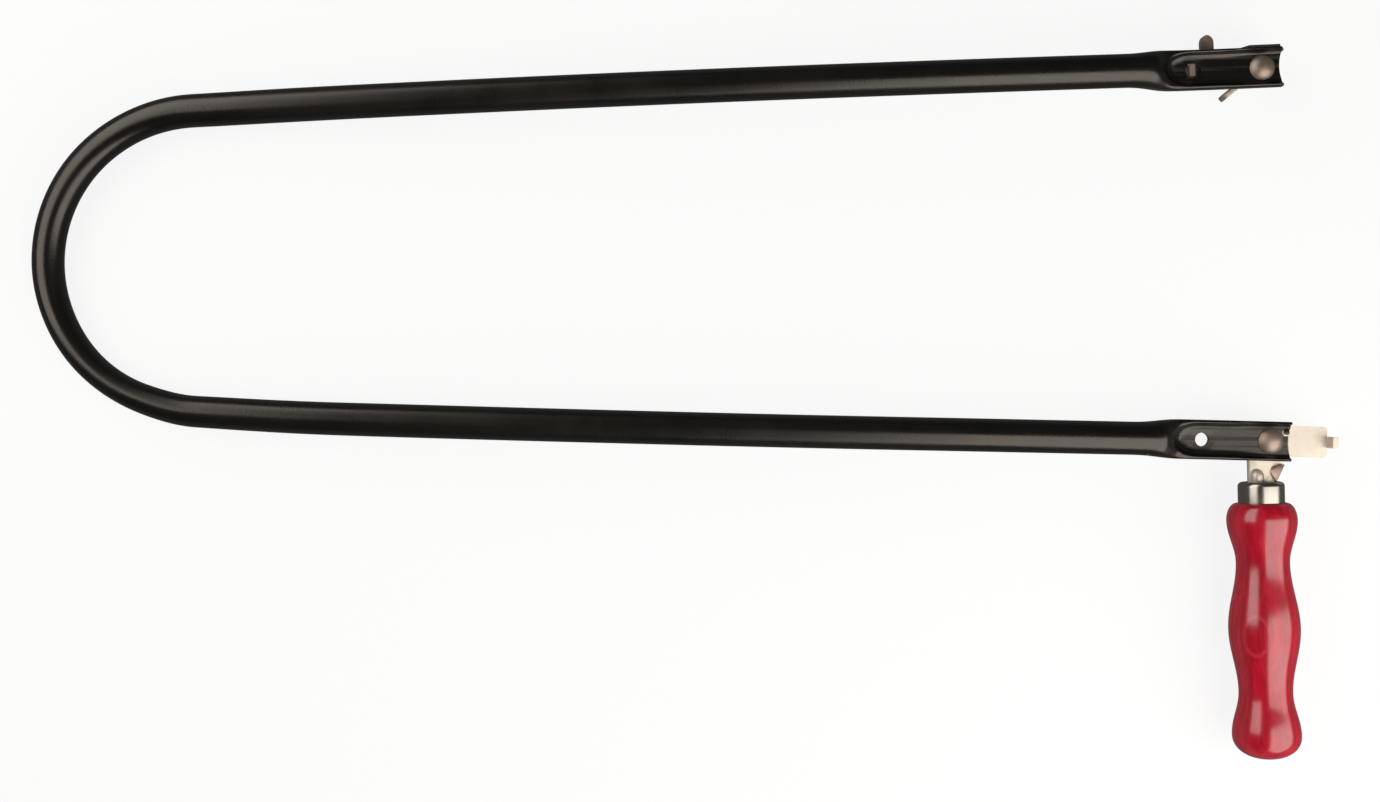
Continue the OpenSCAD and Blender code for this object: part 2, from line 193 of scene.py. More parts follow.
WARM_WHITE = (1, 0.97, 0.93)
ROOM_LIGHT, BACKDROP_WHITE = 0.055, 0.96
world = bpy.data.worlds.new("studio")
world.use_nodes = True
air = Nodes(world.node_tree)
room = air.node("ShaderNodeBackground", {}, {"Color": (*WARM_WHITE, 1), "Strength": ROOM_LIGHT})
backdrop = air.node("ShaderNodeBackground", {}, {"Color": (1, 1, 1, 1), "Strength": BACKDROP_WHITE})
seen = air.node("ShaderNodeLightPath", {}, {}, "Is Camera Ray")
either = air.node("ShaderNodeMixShader", {}, {0: seen, 1: room, 2: backdrop})
air.end("ShaderNodeOutputWorld", "Surface", either)
bpy.context.scene.world = world

# Softboxes: the middle of each, how many degrees it leans over sideways, its width and length, and how
# bright its face is
SOFTBOXES = {
    "right_softbox": ((595, -750, 370), 38, (715, 1400), 3.0),
    "left_softbox": ((-380, 680, 480), -50, (602, 1640), 2.7),
}
for name, (spot, lean, (wide, long), brightness) in SOFTBOXES.items():
    lamp = bpy.data.lights.new(name, "AREA")
    lamp.shape = "RECTANGLE"
    lamp.size, lamp.size_y = wide / 1000, long / 1000
    lamp.energy = brightness * math.pi * lamp.size * lamp.size_y
    lamp.color = WARM_WHITE
    hang = Matrix.Rotation(math.radians(lean), 4, "Y")
    new_object(name, lamp).matrix_world = Matrix.Translation(lying @ Vector(spot)) @ hang

VIEW_MIDDLE = (175.07, -49.54)
VIEW_HEIGHT, VIEW_WIDTH = 600, 492.86
eye = bpy.data.cameras.new("camera")
eye.sensor_width = 36
eye.lens = eye.sensor_width * VIEW_HEIGHT / VIEW_WIDTH
camera = new_object("camera", eye)
turn = Matrix.Rotation(-LYING_TILT, 4, "Y")
camera.matrix_world = Matrix.Translation(lying @ Vector((*VIEW_MIDDLE, VIEW_HEIGHT))) @ turn
bpy.context.scene.camera = camera
bpy.context.scene.view_settings.view_transform = "Standard"

# Bow: one steel tube, bent to a U, with both ends pressed into a trough with two rims. It is sprayed
# black over all, and the web of each end is pierced for the bolt's neck and for the jaw's peg.
paint = Finish("black_paint")
at = paint.place()
peel = paint.noise(at, 900, 2)
cloud = paint.noise(at, 35, 4, 0.6)
dust = paint.between(paint.noise(at, 420, 1, 0.3), 0.835, 0.86)
black = paint.blend(cloud, (0.003, 0.0025, 0.0022), (0.006, 0.005, 0.0042))

# At the depth of the troughs' floors the gloss is streaked along the arms
on_saw = (tuple(lying.translation), tuple(lying.to_euler("XYZ")))
depth = paint.node("ShaderNodeSeparateXYZ", {}, {0: paint.place(*on_saw)}, "Z")
brushed = paint.noise(paint.place(*on_saw, (40, 1, 1)), 700, 2, 0.4)
rubbed = paint.between(depth, -0.0025, -0.0029) * paint.between(depth, -0.0045, -0.0035)
streaks = rubbed * paint.between(brushed, 0.4, 0.62, 0, 0.3)
paint.show(
    Base_Color=paint.blend(dust, black, (0.30, 0.27, 0.22)),
    Roughness=paint.between(cloud, 0.25, 0.75, 0.24, 0.33) + streaks,
    Specular_IOR_Level=0.6,
    Specular_Tint=(1, 0.92, 0.84, 1),
    Normal=paint.relief(peel, 0.12, 0.0002),
)

# Places along an arm are counted from its bolt, outwards. The tube goes flat over FLARE, and its top falls
# to the rims over TOP_FALL. The trough starts in a scoop, and its floor narrows over SEAT_FADE.
TUBE_R, BEND_R = 6, 54
ARM_LENGTHS = (383, 385)
SPLAYS = (math.radians(2.42), math.radians(1.49))
END_HALF, END_BREAK = 7.1, 0.2
WEB_BACK, WEB_FRONT, WEB_CURL, RIM_TOP = -5, -3, 0.1, -0.4
RIM_EDGE, BACK_EDGE = 1.25, 0.95
FLARE, TOP_FALL = (-51.2, -31.2), (-43, -30)
RIM_OVER = 6.9
SCOOP_MIDDLE = -25.5
LIP_REACH, FLOOR_REACH = (13, 6.75), (5.2, 3.6)
SEAT_HALF, SEAT_FADE = 4.5, (-5, -13)
WALL_POWER, WALL_LIP = 2.6, 0.34
PEG_REACH, PEG_HOLES_R = 24.6, (2.8, 2.45)
DISH_R, DISH_FADE, DISH_DEEP = 2.6, 1.3, 0.15


def arm_place(which, s):
    """A point on the middle line of an arm, and the direction out of the throat there."""
    side, splay = (1, -1)[which], SPLAYS[which]
    out = Vector((-math.sin(splay), side * math.cos(splay), 0))
    along = Vector((math.cos(splay), side * math.sin(splay), 0))
    return out * BEND_R + along * s, out


def eased(x, start, stop):
    """How far x has come from start to stop, from 0 to 1, with a soft start and end."""
    t = min(max((x - start) / (stop - start), 0), 1)
    return t * t * t * (t * (6 * t - 15) + 10)


def rounded(a, edge, r):
    """How far a rounded edge has fallen at a, where the flat ends a radius before the edge."""
    over = max(a - (edge - r), 0)
    return r - math.sqrt(max(r * r - over * over, 0))


# The tube was bent by hand: places along its path, how far it strays outwards there from straight arms and a
# round bend, and how wide the bending has left it. The upper arm's places are negative, the bend starts at 0,
# and the lower arm follows it.
BEND_L = BEND_R * (math.pi - SPLAYS[0] - SPLAYS[1])
STRAYS = [
    (-400, 0, 12), (-360, 0.03, 12), (-332, 0.35, 12), (-286, 0.75, 12), (-214, 1.2, 12), (-143, 1.3, 12),
    (-71, 1.03, 12), (-36, 0.7, 12), (0, 0.15, 11.8), (26, 0.05, 11.4), (50, 0.2, 11.3), (83, 0.15, 11),
    (101, -0.1, 10.6), (120, -0.4, 10.2), (130, -0.7, 10.1), (140, -1.05, 10.3), (151, -1.3, 10.8),
    (166, -0.65, 11.3), (202, 0.45, 11.7), (237, 0.7, 11.9), (309, 0.84, 11.9), (380, 0.77, 11.9),
    (452, 0.4, 11.9), (500, 0.15, 11.9), (526, 0, 12), (560, 0, 12),
]


def stray(u):
    """The stray and width at u along the tube's path, on a smooth line through the places above."""
    k = max(i for i in range(len(STRAYS) - 1) if STRAYS[i][0] <= u)
    before, here, there, after = [STRAYS[min(max(i, 0), len(STRAYS) - 1)] for i in range(k - 1, k + 3)]
    step = there[0] - here[0]
    t = (u - here[0]) / step
    found = []
    for row in (1, 2):
        leave = (there[row] - before[row]) / (there[0] - before[0]) * step
        reach = (after[row] - here[row]) / (after[0] - here[0]) * step
        found.append(
            here[row] * (1 + 2 * t) * (1 - t) ** 2 + there[row] * t * t * (3 - 2 * t)
            + leave * t * (1 - t) ** 2 - reach * t * t * (1 - t)
        )
    return found


def web_top(x, v):
    """Height of the web's front, which curls up to the rims and is dished round the peg's hole."""
    ring = max(math.hypot(x + PEG_REACH, v) - DISH_R, 0)
    dish = DISH_DEEP * math.exp(-((ring / DISH_FADE) ** 2))
    return WEB_FRONT + WEB_CURL * (v / END_HALF) ** 2 - dish


def pressed(x, v):
    """How far the trough has taken the tube's top down to the web: 0 outside its lip, 1 on its floor."""
    dx = min(x - SCOOP_MIDDLE, 0)
    floor_half = SEAT_HALF - (SEAT_HALF - FLOOR_REACH[1]) * eased(x, *SEAT_FADE)
    lip = math.hypot(dx / LIP_REACH[0], v / LIP_REACH[1])
    bed = math.hypot(dx / FLOOR_REACH[0], v / floor_half)
    if lip >= 1:
        return 0
    if bed <= 1:
        return 1
    in_wall = (1 - lip) / (bed - lip)
    return (1 - (1 - in_wall) ** WALL_POWER) * eased(in_wall, 0, WALL_LIP)


HALF_FACETS = [1.2, 3, 5, 7.5, 10, 13, 16, 19, 22, 25, 28, 31, 34, 36.5]
HALF_FACETS += [38 + 1.3 * k for k in range(13)] + [56, 59, 62, 66, 70, 74, 78, 82, 86]
FACET_ANGLES = [math.radians(a) for a in HALF_FACETS + [90] + [180 - a for a in HALF_FACETS[::-1]]]


def section(x, wide):
    """Outline across the tube at x from the bolt: the trough's side, then back along the other."""
    flat = eased(x, *FLARE)
    fall = eased(x, *TOP_FALL)
    half = wide / 2 + (END_HALF - wide / 2) * flat
    end = END_BREAK if x >= RIM_OVER else 0
    top, back = [], []
    for angle in FACET_ANGLES:
        u, up = math.cos(angle), math.sin(angle) * TUBE_R
        v, a = half * u, END_HALF * abs(u)
        z = up + (RIM_TOP - rounded(a, END_HALF, RIM_EDGE) - up) * fall
        z += (web_top(x, v) - z) * pressed(x, v)
        top.append((v - end * u, z - end))
        low = -up + (WEB_BACK + rounded(a, END_HALF, BACK_EDGE) + up) * flat
        back.append((v - end * u, low + end))
    return top + back[::-1]


ARM_STEPS, BEND_STEPS, FLARE_STEP = 36, 96, 0.6
END_PLACES = [FLARE[0] + FLARE_STEP * k for k in range(58)] + [-16, -12, -8, -4, 0, 3, 5, 6, 6.7, 6.9]
arms = []
for which, length in enumerate(ARM_LENGTHS):
    straight = length + FLARE[0]
    arm = []
    for s in [straight * k / ARM_STEPS for k in range(ARM_STEPS)] + [length + x for x in END_PLACES]:
        middle, out = arm_place(which, s)
        off, wide = stray((-s, BEND_L + s)[which])
        arm.append((middle + out * off, -out, s - length, wide))
    arms.append(arm)
bend = []
for k in range(1, BEND_STEPS):
    a = math.pi / 2 + SPLAYS[0] + BEND_L / BEND_R * k / BEND_STEPS
    out = Vector((math.cos(a), math.sin(a), 0))
    off, wide = stray(BEND_L * k / BEND_STEPS)
    bend.append((out * (BEND_R + off), -out, -ARM_LENGTHS[0], wide))
stations = arms[0][::-1] + bend + arms[1]
around = 2 * len(FACET_ANGLES)
verts, faces = [], []
for middle, inward, x, wide in stations:
    verts += [middle + inward * v + Vector((0, 0, z)) for v, z in section(x, wide)]
for i in range(len(stations) - 1):
    a, b = i * around, (i + 1) * around
    faces += [(a + k, a + (k + 1) % around, b + (k + 1) % around, b + k) for k in range(around)]
for start in (0, (len(stations) - 1) * around):
    faces += [
        (start + k, start + k + 1, start + around - 2 - k, start + around - 1 - k)
        for k in range(len(FACET_ANGLES) - 1)
    ]


def face_outwards(mesh):
    """Turns the faces of a closed mesh to the outside."""
    build = bmesh.new()
    build.from_mesh(mesh)
    bmesh.ops.recalc_face_normals(build, faces=build.faces)
    build.to_mesh(mesh)
    build.free()


def draw(name, verts, faces, place):
    """A closed mesh drawn in millimetres and set in its place on the saw."""
    mesh = bpy.data.meshes.new(name)
    mesh.from_pydata([place @ Vector(v) for v in verts], [], faces)
    face_outwards(mesh)
    return new_object(name, mesh)


def shown_mesh(made):
    """What an object's modifiers show, as a plain mesh. The modifiers are then done with."""
    bpy.context.view_layer.update()
    mesh = bpy.data.meshes.new_from_object(made.evaluated_get(bpy.context.evaluated_depsgraph_get()))
    made.modifiers.clear()
    return mesh


SHARP_FROM = math.radians(32)


def settle(made, flat=False):
    """Makes what the modifiers show the object's own mesh, smooth but for its sharp edges and wide flats."""
    made.data = shown_mesh(made)
    made.data.shade_smooth()
    made.data.set_sharp_from_angle(angle=SHARP_FROM)
    if flat:
        made.modifiers.new("even", "WEIGHTED_NORMAL").keep_sharp = True
        made.data = shown_mesh(made)
    return made


def combine(made, tools, operation="DIFFERENCE"):
    """Cuts the tools out of a piece, or joins them to it."""
    for tool in tools:
        step = made.modifiers.new("combine", "BOOLEAN")
        step.object, step.operation, step.solver = tool, operation, "EXACT"
        settle(made)
        bpy.data.objects.remove(tool)
    return made


def block(name, first, second, place):
    """A block between two outlines, which have as many points."""
    n = len(first)
    ends = [tuple(range(n))[::-1], tuple(range(n, 2 * n))]
    sides = [(k, (k + 1) % n, n + (k + 1) % n, n + k) for k in range(n)]
    return draw(name, first + second, ends + sides, place)


def prism(name, outline, low, high, place):
    """An upright block on a flat outline."""
    return block(name, *[[(x, y, z) for x, y in outline] for z in (low, high)], place)


def circle(x, y, r, steps=64):
    turns = [2 * math.pi * k / steps for k in range(steps)]
    return [(x + r * math.cos(a), y + r * math.sin(a)) for a in turns]


def put(made, finish, body, node):
    """Gives a piece its finish, sets it on its body and lets it stand for the plain solid."""
    made.data.materials.clear()
    made.data.materials.append(finish.material)
    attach(made, body)
    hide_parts(node)


bolt_places = []
for which, length in enumerate(ARM_LENGTHS):
    middle, _ = arm_place(which, length)
    lean = (1, -1)[which] * SPLAYS[which]
    bolt_places.append(lying @ Matrix.Translation(middle) @ Matrix.Rotation(lean, 4, "Z"))
UPPER, LOWER = bolt_places

PLAY = 0.05
STUD_AT, STUD_R = (5.45, 3.225), 1.5
HOLLOW_HALF, HOLLOW_DEEP = 4.725, 0.7
hollow_r = (HOLLOW_HALF**2 + HOLLOW_DEEP**2) / (2 * HOLLOW_DEEP)
hollow = circle(RIM_OVER - HOLLOW_DEEP + hollow_r, 0, hollow_r, 256)
bow = draw("bow", verts, faces, lying)
cuts = []
for place, hole_r in zip(bolt_places, PEG_HOLES_R):
    peg_hole = circle(-PEG_REACH, 0, hole_r)
    cuts.append(prism("peg_hole", peg_hole, WEB_BACK - 2, WEB_FRONT + 2, place))
    cuts.append(prism("end_hollow", hollow, WEB_BACK - 1, WEB_FRONT + 0.5, place))
cuts.append(prism("stud_notch", circle(*STUD_AT, STUD_R + PLAY), WEB_BACK - 1, WEB_FRONT + 1, LOWER))
combine(bow, cuts)
put(bow, paint, "frame", "bow_tube")

# Clamp bolts: cold-headed steel with a low dome, a square neck that the web holds and a rolled thread
# below. They are oiled bare steel, gone brown. One tree of nodes turns round pieces from their profiles,
# and another winds the thread.
steel = Finish("brown_steel")
at = steel.place()
tarnish = steel.noise(at, 260, 5, 0.65)
scratch = steel.noise(steel.place(grain=(1, 12, 1)), 1500, 2)
steel.show(
    Base_Color=steel.blend(tarnish, (0.23, 0.165, 0.125), (0.43, 0.345, 0.285)),
    Metallic=0.8,
    Roughness=steel.between(tarnish, 0.3, 0.7, 0.42, 0.56),
    Normal=steel.relief(scratch + tarnish, 0.08, 0.0001),
)


class Forming(Nodes):
    """A tree of nodes that forms a mesh, with named sizes and the finish that goes on it."""

    def __init__(self, name, **sizes):
        super().__init__(bpy.data.node_groups.new(name, "GeometryNodeTree"))
        sockets = self.tree.interface
        for way in ("OUTPUT", "INPUT"):
            sockets.new_socket("Geometry", in_out=way, socket_type="NodeSocketGeometry")
        for size, kind in sizes.items():
            sockets.new_socket(size, in_out="INPUT", socket_type="NodeSocket" + kind)
        sockets.new_socket("Finish", in_out="INPUT", socket_type="NodeSocketMaterial")
        given = self.tree.nodes.new("NodeGroupInput").outputs
        self.given = {socket.name: Reading(self, socket) for socket in given if socket.name}

    def axes(self, place, names):
        """The parts of a place that lie along some of its axes."""
        return [self.node("ShaderNodeSeparateXYZ", {}, {0: place}, name) for name in names]

    def formed(self, geometry):
        """Ends the tree in real geometry that has its finish on."""
        whole = self.node("GeometryNodeRealizeInstances", {}, {0: geometry})
        inputs = {"Geometry": whole, "Material": self.given["Finish"]}
        self.end("NodeGroupOutput", 0, self.node("GeometryNodeSetMaterial", {}, inputs))

    def run(self, made, place, finish, **sizes):
        """Turns what the tree forms on an object into its own closed mesh, and sets that in its place."""
        step = made.modifiers.new("formed", "NODES")
        step.node_group = self.tree
        sizes["Finish"] = finish.material
        for socket in self.tree.interface.items_tree:
            if socket.in_out == "INPUT" and socket.name in sizes:
                step[socket.identifier] = sizes[socket.name]
        made.data = shown_mesh(made)
        made.data.transform(place)
        face_outwards(made.data)
        return settle(made)


# A turned piece: the line of its profile is spun, row by row, over a grid whose poles and seam are welded.
WELD = 0.0005
turning = Forming("turned_from_profile", Facets="Int")
profile = turning.given["Geometry"]
rows = turning.node("GeometryNodeAttributeDomainSize", {}, {"Geometry": profile}, "Point Count")
grid = turning.node(
    "GeometryNodeMeshGrid",
    {},
    {"Size X": 1, "Size Y": 1, "Vertices X": turning.given["Facets"] + 1, "Vertices Y": rows},
)
here = turning.node("GeometryNodeInputPosition", {}, {})
across, up = turning.axes(here, "XY")
radius, height = turning.axes(
    turning.node(
        "GeometryNodeSampleIndex",
        {"data_type": "FLOAT_VECTOR", "domain": "POINT"},
        {"Geometry": profile, "Value": here, "Index": ((up + 0.5) * (rows - 1)).whole()},
    ),
    "XZ",
)
turned_by = across * (2 * math.pi)
spun = turning.node(
    "ShaderNodeCombineXYZ",
    {},
    {"X": radius * turned_by.cosine(), "Y": radius * turned_by.sine(), "Z": height},
)
skin = turning.node("GeometryNodeSetPosition", {}, {"Geometry": grid, "Position": spun})
turning.formed(turning.node("GeometryNodeMergeByDistance", {}, {"Geometry": skin, "Distance": WELD}))


def turned(name, profile, place, finish, facets=72):
    """A piece turned from a profile of radii and heights."""
    line = bpy.data.meshes.new(name)
    line.from_pydata([(r, 0, z) for r, z in profile], [(k, k + 1) for k in range(len(profile) - 1)], [])
    return turning.run(new_object(name, line), place, finish, Facets=facets)


# A rolled thread: a ridge with a square section is swept along a spiral.
THREAD_PITCH, THREAD_DEPTH = 0.8, 0.3
threading = Forming("rolled_thread", Length="Float", Pitch="Float", Radius="Float", Depth="Float")
spiral = threading.node(
    "GeometryNodeCurveSpiral",
    {},
    {
        "Resolution": 32,
        "Rotations": threading.given["Length"] / threading.given["Pitch"],
        "Start Radius": threading.given["Radius"],
        "End Radius": threading.given["Radius"],
        "Height": threading.given["Length"],
    },
)
path = threading.node("GeometryNodeSetCurveNormal", {"mode": "Z_UP"}, {"Curve": spiral})
ridge = threading.node(
    "GeometryNodeCurvePrimitiveCircle", {}, {"Resolution": 4, "Radius": threading.given["Depth"]}
)
threading.formed(
    threading.node("GeometryNodeCurveToMesh", {}, {"Curve": path, "Profile Curve": ridge, "Fill Caps": True})
)


def thread(name, low, high, radius, place, finish):
    """A thread's ridge from one height on its bolt to another."""
    made = new_object(name, bpy.data.meshes.new(name))
    sizes = {"Length": high - low, "Pitch": THREAD_PITCH, "Radius": radius, "Depth": THREAD_DEPTH}
    return threading.run(made, place @ Matrix.Translation((0, 0, low)), finish, **sizes)


def join(made, others):
    """Makes one object of several closed meshes that lie on each other."""
    build = bmesh.new()
    for part in [made] + others:
        build.from_mesh(part.data)
    build.to_mesh(made.data)
    build.free()
    for part in others:
        bpy.data.objects.remove(part)
    return made


EDGE_FROM = math.radians(30)


def bevelled(made, width, steps=2):
    """Breaks the sharp edges of a pressed or cut piece."""
    edge = made.modifiers.new("edges", "BEVEL")
    edge.width, edge.segments = width / 1000, steps
    edge.limit_method, edge.angle_limit = "ANGLE", EDGE_FROM
    return settle(made, True)


BOLT_R, BOLT_END, POINT_L, POINT_IN = 2.5, -21.8, 0.6, 0.8
HEAD_R, HEAD_H, HEAD_RIM, HEAD_EDGE, DOME_STEPS = 4.5, 2.6, 0.35, 0.12, 16
NECK_HALF, NECK_EDGE = 2.7, 0.3
shank_low, shank_top = WEB_BACK - 3, WEB_BACK + 0.1
under_head, core_r = WEB_FRONT + 0.01, BOLT_R - THREAD_DEPTH
dome_h = HEAD_H - HEAD_RIM
dome_r = (dome_h**2 + HEAD_R**2) / (2 * dome_h)
bolt_profile = [
    (dome_r * math.sin(a), WEB_FRONT + HEAD_H - dome_r + dome_r * math.cos(a))
    for a in (math.asin(HEAD_R / dome_r) * k / DOME_STEPS for k in range(DOME_STEPS + 1))
]
bolt_profile += [
    (HEAD_R, WEB_FRONT + HEAD_EDGE), (HEAD_R - HEAD_EDGE, under_head), (core_r, under_head),
    (core_r, BOLT_END + POINT_L), (BOLT_R - POINT_IN, BOLT_END), (0, BOLT_END),
]
shank_profile = [(0, shank_low), (BOLT_R, shank_low), (BOLT_R, shank_top), (0, shank_top)]
square = [(x * NECK_HALF, y * NECK_HALF) for x, y in ((-1, -1), (1, -1), (1, 1), (-1, 1))]
for name, place, node in (
    ("upper_carriage_bolt", UPPER, "upper_bolt"),
    ("lower_carriage_bolt", LOWER, "lower_bolt"),
):
    bolt = turned(name, bolt_profile, place, steel)
    neck = bevelled(prism("neck", square, WEB_BACK, WEB_FRONT + 0.2, place), NECK_EDGE)
    shank = turned("shank", shank_profile, place, steel)
    helix = thread("thread", BOLT_END + POINT_L, shank_low, core_r, place, steel)
    put(join(bolt, [neck, shank, helix]), steel, "frame", node)

# Upper fixed jaw: a short plate on the back of the web, with a lip bent up along the arm so that it
# can't turn. It is blackened like the bow, and its edges have a dull olive shine.
blacking = Finish("blackened_steel")
at = blacking.place()
worn = blacking.noise(at, 300, 4, 0.6)
blacking.show(
    Base_Color=blacking.blend(worn, (0.035, 0.034, 0.026), (0.085, 0.082, 0.062)),
    Roughness=blacking.between(worn, 0.3, 0.7, 0.3, 0.5),
    Metallic=0.4,
    Normal=blacking.relief(worn, 0.15, 0.0001),
)
JAW_T, JAW_FACE = 2, -7
FIXED_HALF, FIXED_SIDE, FIXED_PLAY, FIXED_EDGE = 6.4, -6.15, 0.2, 0.4
LIP_IN, LIP_OUT, LIP_TOP, LIP_BEND, LIP_SLOPE = 7.15, 8, -1.4, 1.4, 1.6


def angles(step, stop, start=0):
    """Angles in even steps of so many degrees."""
    return [math.radians(step * k) for k in range(start, stop)]


lip_corner = (LIP_OUT - LIP_BEND, JAW_FACE + LIP_BEND)
fixed_section = [(FIXED_SIDE, JAW_FACE)]
fixed_section += [
    (lip_corner[0] + LIP_BEND * math.sin(a), lip_corner[1] - LIP_BEND * math.cos(a)) for a in angles(15, 7)
]
fixed_section += [
    (LIP_OUT, LIP_TOP), (LIP_IN, LIP_TOP), (LIP_IN, WEB_BACK + 0.05), (LIP_IN - 0.15, WEB_BACK),
    (FIXED_SIDE, WEB_BACK),
]
cut_back = [(LIP_SLOPE if z > JAW_FACE + JAW_T + 0.5 else 0, y, z) for y, z in fixed_section]
fixed_jaw = block(
    "upper_back_jaw",
    [(-FIXED_HALF + slope, y, z) for slope, y, z in cut_back],
    [(FIXED_HALF, y, z) for y, z in fixed_section],
    UPPER,
)
fixed_hole = circle(0, 0, BOLT_R + FIXED_PLAY)
combine(fixed_jaw, [prism("hole", fixed_hole, JAW_FACE - 1, WEB_BACK + 1, UPPER)])
put(bevelled(fixed_jaw, FIXED_EDGE, 3), blacking, "frame", "upper_fixed_jaw")

# Moving jaws: plates stamped from zinc-plated strip, each with a tail that is bent up into a peg. The
# upper one is shut, with its peg in the arm's hole and a thumb tongue at its side, and is given the
# bolts' brown steel finish. The lower one stands open.
zinc = Finish("zinc_plate")
at = zinc.place()
bloom = zinc.noise(at, 120, 5, 0.6)
spangle = zinc.noise(at, 700, 3)
plate = zinc.blend(bloom, (0.67, 0.62, 0.50), (0.66, 0.56, 0.49))

# Painted shade: the folded corner of the handle's bracket is coloured brown, and its stud nearly black, for
# the shade that falls on them
fold_shade_spot = tuple(LOWER @ Vector((3.4, -10.9, -3)))
stud_shade_spot = tuple(LOWER @ Vector((STUD_AT[0] + 0.25, STUD_AT[1] + 0.3, -3)))
in_fold_shade = zinc.distance(zinc.place(fold_shade_spot, grain=(1, 1.3, 5)))
in_stud_shade = zinc.distance(zinc.place(stud_shade_spot, grain=(1, 1, 5)))
# Painted shade: brown on the fold's turned-away face
plate = zinc.blend(zinc.between(in_fold_shade, 0.0031, 0.0019) * 0.75, plate, (0.38, 0.23, 0.17))
# Painted shade: the stud is coloured nearly black for the shade in its notch
plate = zinc.blend(zinc.between(in_stud_shade, 0.0013, 0.0011), plate, (0.035, 0.03, 0.018))
zinc.show(
    Base_Color=plate,
    Metallic=0.45,
    Roughness=zinc.between(spangle, 0.3, 0.7, 0.30, 0.42),
    Normal=zinc.relief(spangle, 0.1, 0.0001),
)
JAW_HALF, JAW_BACK, JAW_CORNER, JAW_EDGE = 5.55, 6.2, 1.6, 0.3
PEG_H, BEND_IN, BEND_CUTS = 5.4, 0.2, 8
TONGUE_X, TONGUE_HALF, TONGUE_OUT, TONGUE_ROOT = -18.1, 2.4, 13.4, 0.5
TIP_FROM, TIP_POWER = 10.6, 1.15


def arc(x, y, r, start, stop, steps=6):
    """Points round a corner, from one bearing in degrees to another."""
    turns = [math.radians(start + (stop - start) * k / steps) for k in range(steps + 1)]
    return [(x + r * math.cos(a), y + r * math.sin(a)) for a in turns]


def thumb_tongue():
    """Outline of the tongue that stands out at a jaw's side, from its right root to its left."""
    right, left, root = TONGUE_X + TONGUE_HALF, TONGUE_X - TONGUE_HALF, JAW_HALF + TONGUE_ROOT
    tip = [
        (TONGUE_HALF * math.cos(a) ** TIP_POWER, (TONGUE_OUT - TIP_FROM) * math.sin(a)) for a in angles(10, 9)
    ]
    outline = [(right + TONGUE_ROOT, JAW_HALF), (right, root)]
    outline += [(TONGUE_X + dx, TIP_FROM + dy) for dx, dy in tip] + [(TONGUE_X, TONGUE_OUT)]
    outline += [(TONGUE_X - dx, TIP_FROM + dy) for dx, dy in tip[::-1]]
    return outline + [(left, root), (left - TONGUE_ROOT, JAW_HALF)]


def bent_jaw(name, top, peg_face, peg_half, tongue, place):
    """A jaw, drawn flat with its side's tongue if it has one, and then its tail, bent up into the peg."""
    tail_x = peg_face + JAW_T + BEND_IN
    inner = JAW_HALF - JAW_CORNER
    left, right = tail_x + JAW_CORNER, JAW_BACK - JAW_CORNER
    outline = [(tail_x, peg_half), (tail_x, -peg_half)]
    outline += arc(left, -inner, JAW_CORNER, 180, 270) + arc(right, -inner, JAW_CORNER, 270, 360)
    outline += arc(right, inner, JAW_CORNER, 0, 90) + tongue + arc(left, inner, JAW_CORNER, 90, 180)
    n = len(outline)
    verts = [(x, y, top - JAW_T + h) for h in (0, JAW_T) for x, y in outline]
    faces = [tuple(range(n))[::-1], tuple(range(n, 2 * n))]
    faces += [(k, (k + 1) % n, n + (k + 1) % n, n + k) for k in range(1, n)]
    before = [0, 1, n + 1, n]
    tail = [(math.radians(90 * k / BEND_CUTS), 0) for k in range(1, BEND_CUTS + 1)]
    tail.append((math.pi / 2, PEG_H - BEND_IN))
    for a, up in tail:
        here = len(verts)
        for h, y in ((0, peg_half), (0, -peg_half), (JAW_T, -peg_half), (JAW_T, peg_half)):
            r = BEND_IN + JAW_T - h
            verts.append((tail_x - r * math.sin(a), y, top + BEND_IN - r * math.cos(a) + up))
        now = [here, here + 1, here + 2, here + 3]
        faces += [(before[k], before[(k + 1) % 4], now[(k + 1) % 4], now[k]) for k in range(4)]
        before = now
    faces.append(tuple(before))
    jaw = draw(name, verts, faces, place)
    combine(jaw, [prism("hole", circle(0, 0, BOLT_R + PLAY), top - JAW_T - 1, top + 1, place)])
    return bevelled(jaw, JAW_EDGE)


UPPER_JAW_TOP, LOWER_JAW_TOP = -7, -10.8
UPPER_PEG, LOWER_PEG = (-26.4, 2.1), (-25.4, 2.05)
swung_out = LOWER @ Matrix.Rotation(math.pi, 4, "Z")
upper_jaw = bent_jaw("upper_swing_jaw", UPPER_JAW_TOP, *UPPER_PEG, thumb_tongue(), UPPER)
put(upper_jaw, steel, "upper_clamp", "upper_moving_jaw")
lower_jaw = bent_jaw("lower_swing_jaw", LOWER_JAW_TOP, *LOWER_PEG, [], swung_out)
put(lower_jaw, zinc, "lower_jaw", "lower_moving_jaw")

# Washers: punched from plated strip, one between each moving jaw and its wing nut. Their edges are broken
# on both faces.
WASHER_R, WASHER_T, WASHER_EDGE = 5, 1, 0.2
for name, place, top, body, node in (
    ("upper_flat_washer", UPPER, UPPER_JAW_TOP - JAW_T, "upper_clamp", "upper_washer"),
    ("lower_flat_washer", LOWER, LOWER_JAW_TOP - JAW_T, "lower_clamp", "lower_washer"),
):
    hole, low = BOLT_R + PLAY, top - WASHER_T
    ring_profile = [
        (hole, top - WASHER_EDGE), (hole + WASHER_EDGE, top), (WASHER_R - WASHER_EDGE, top),
        (WASHER_R, top - WASHER_EDGE), (WASHER_R, low + WASHER_EDGE), (WASHER_R - WASHER_EDGE, low),
        (hole + WASHER_EDGE, low), (hole, low + WASHER_EDGE), (hole, top - WASHER_EDGE),
    ]
    put(turned(name, ring_profile, place, zinc), zinc, body, node)

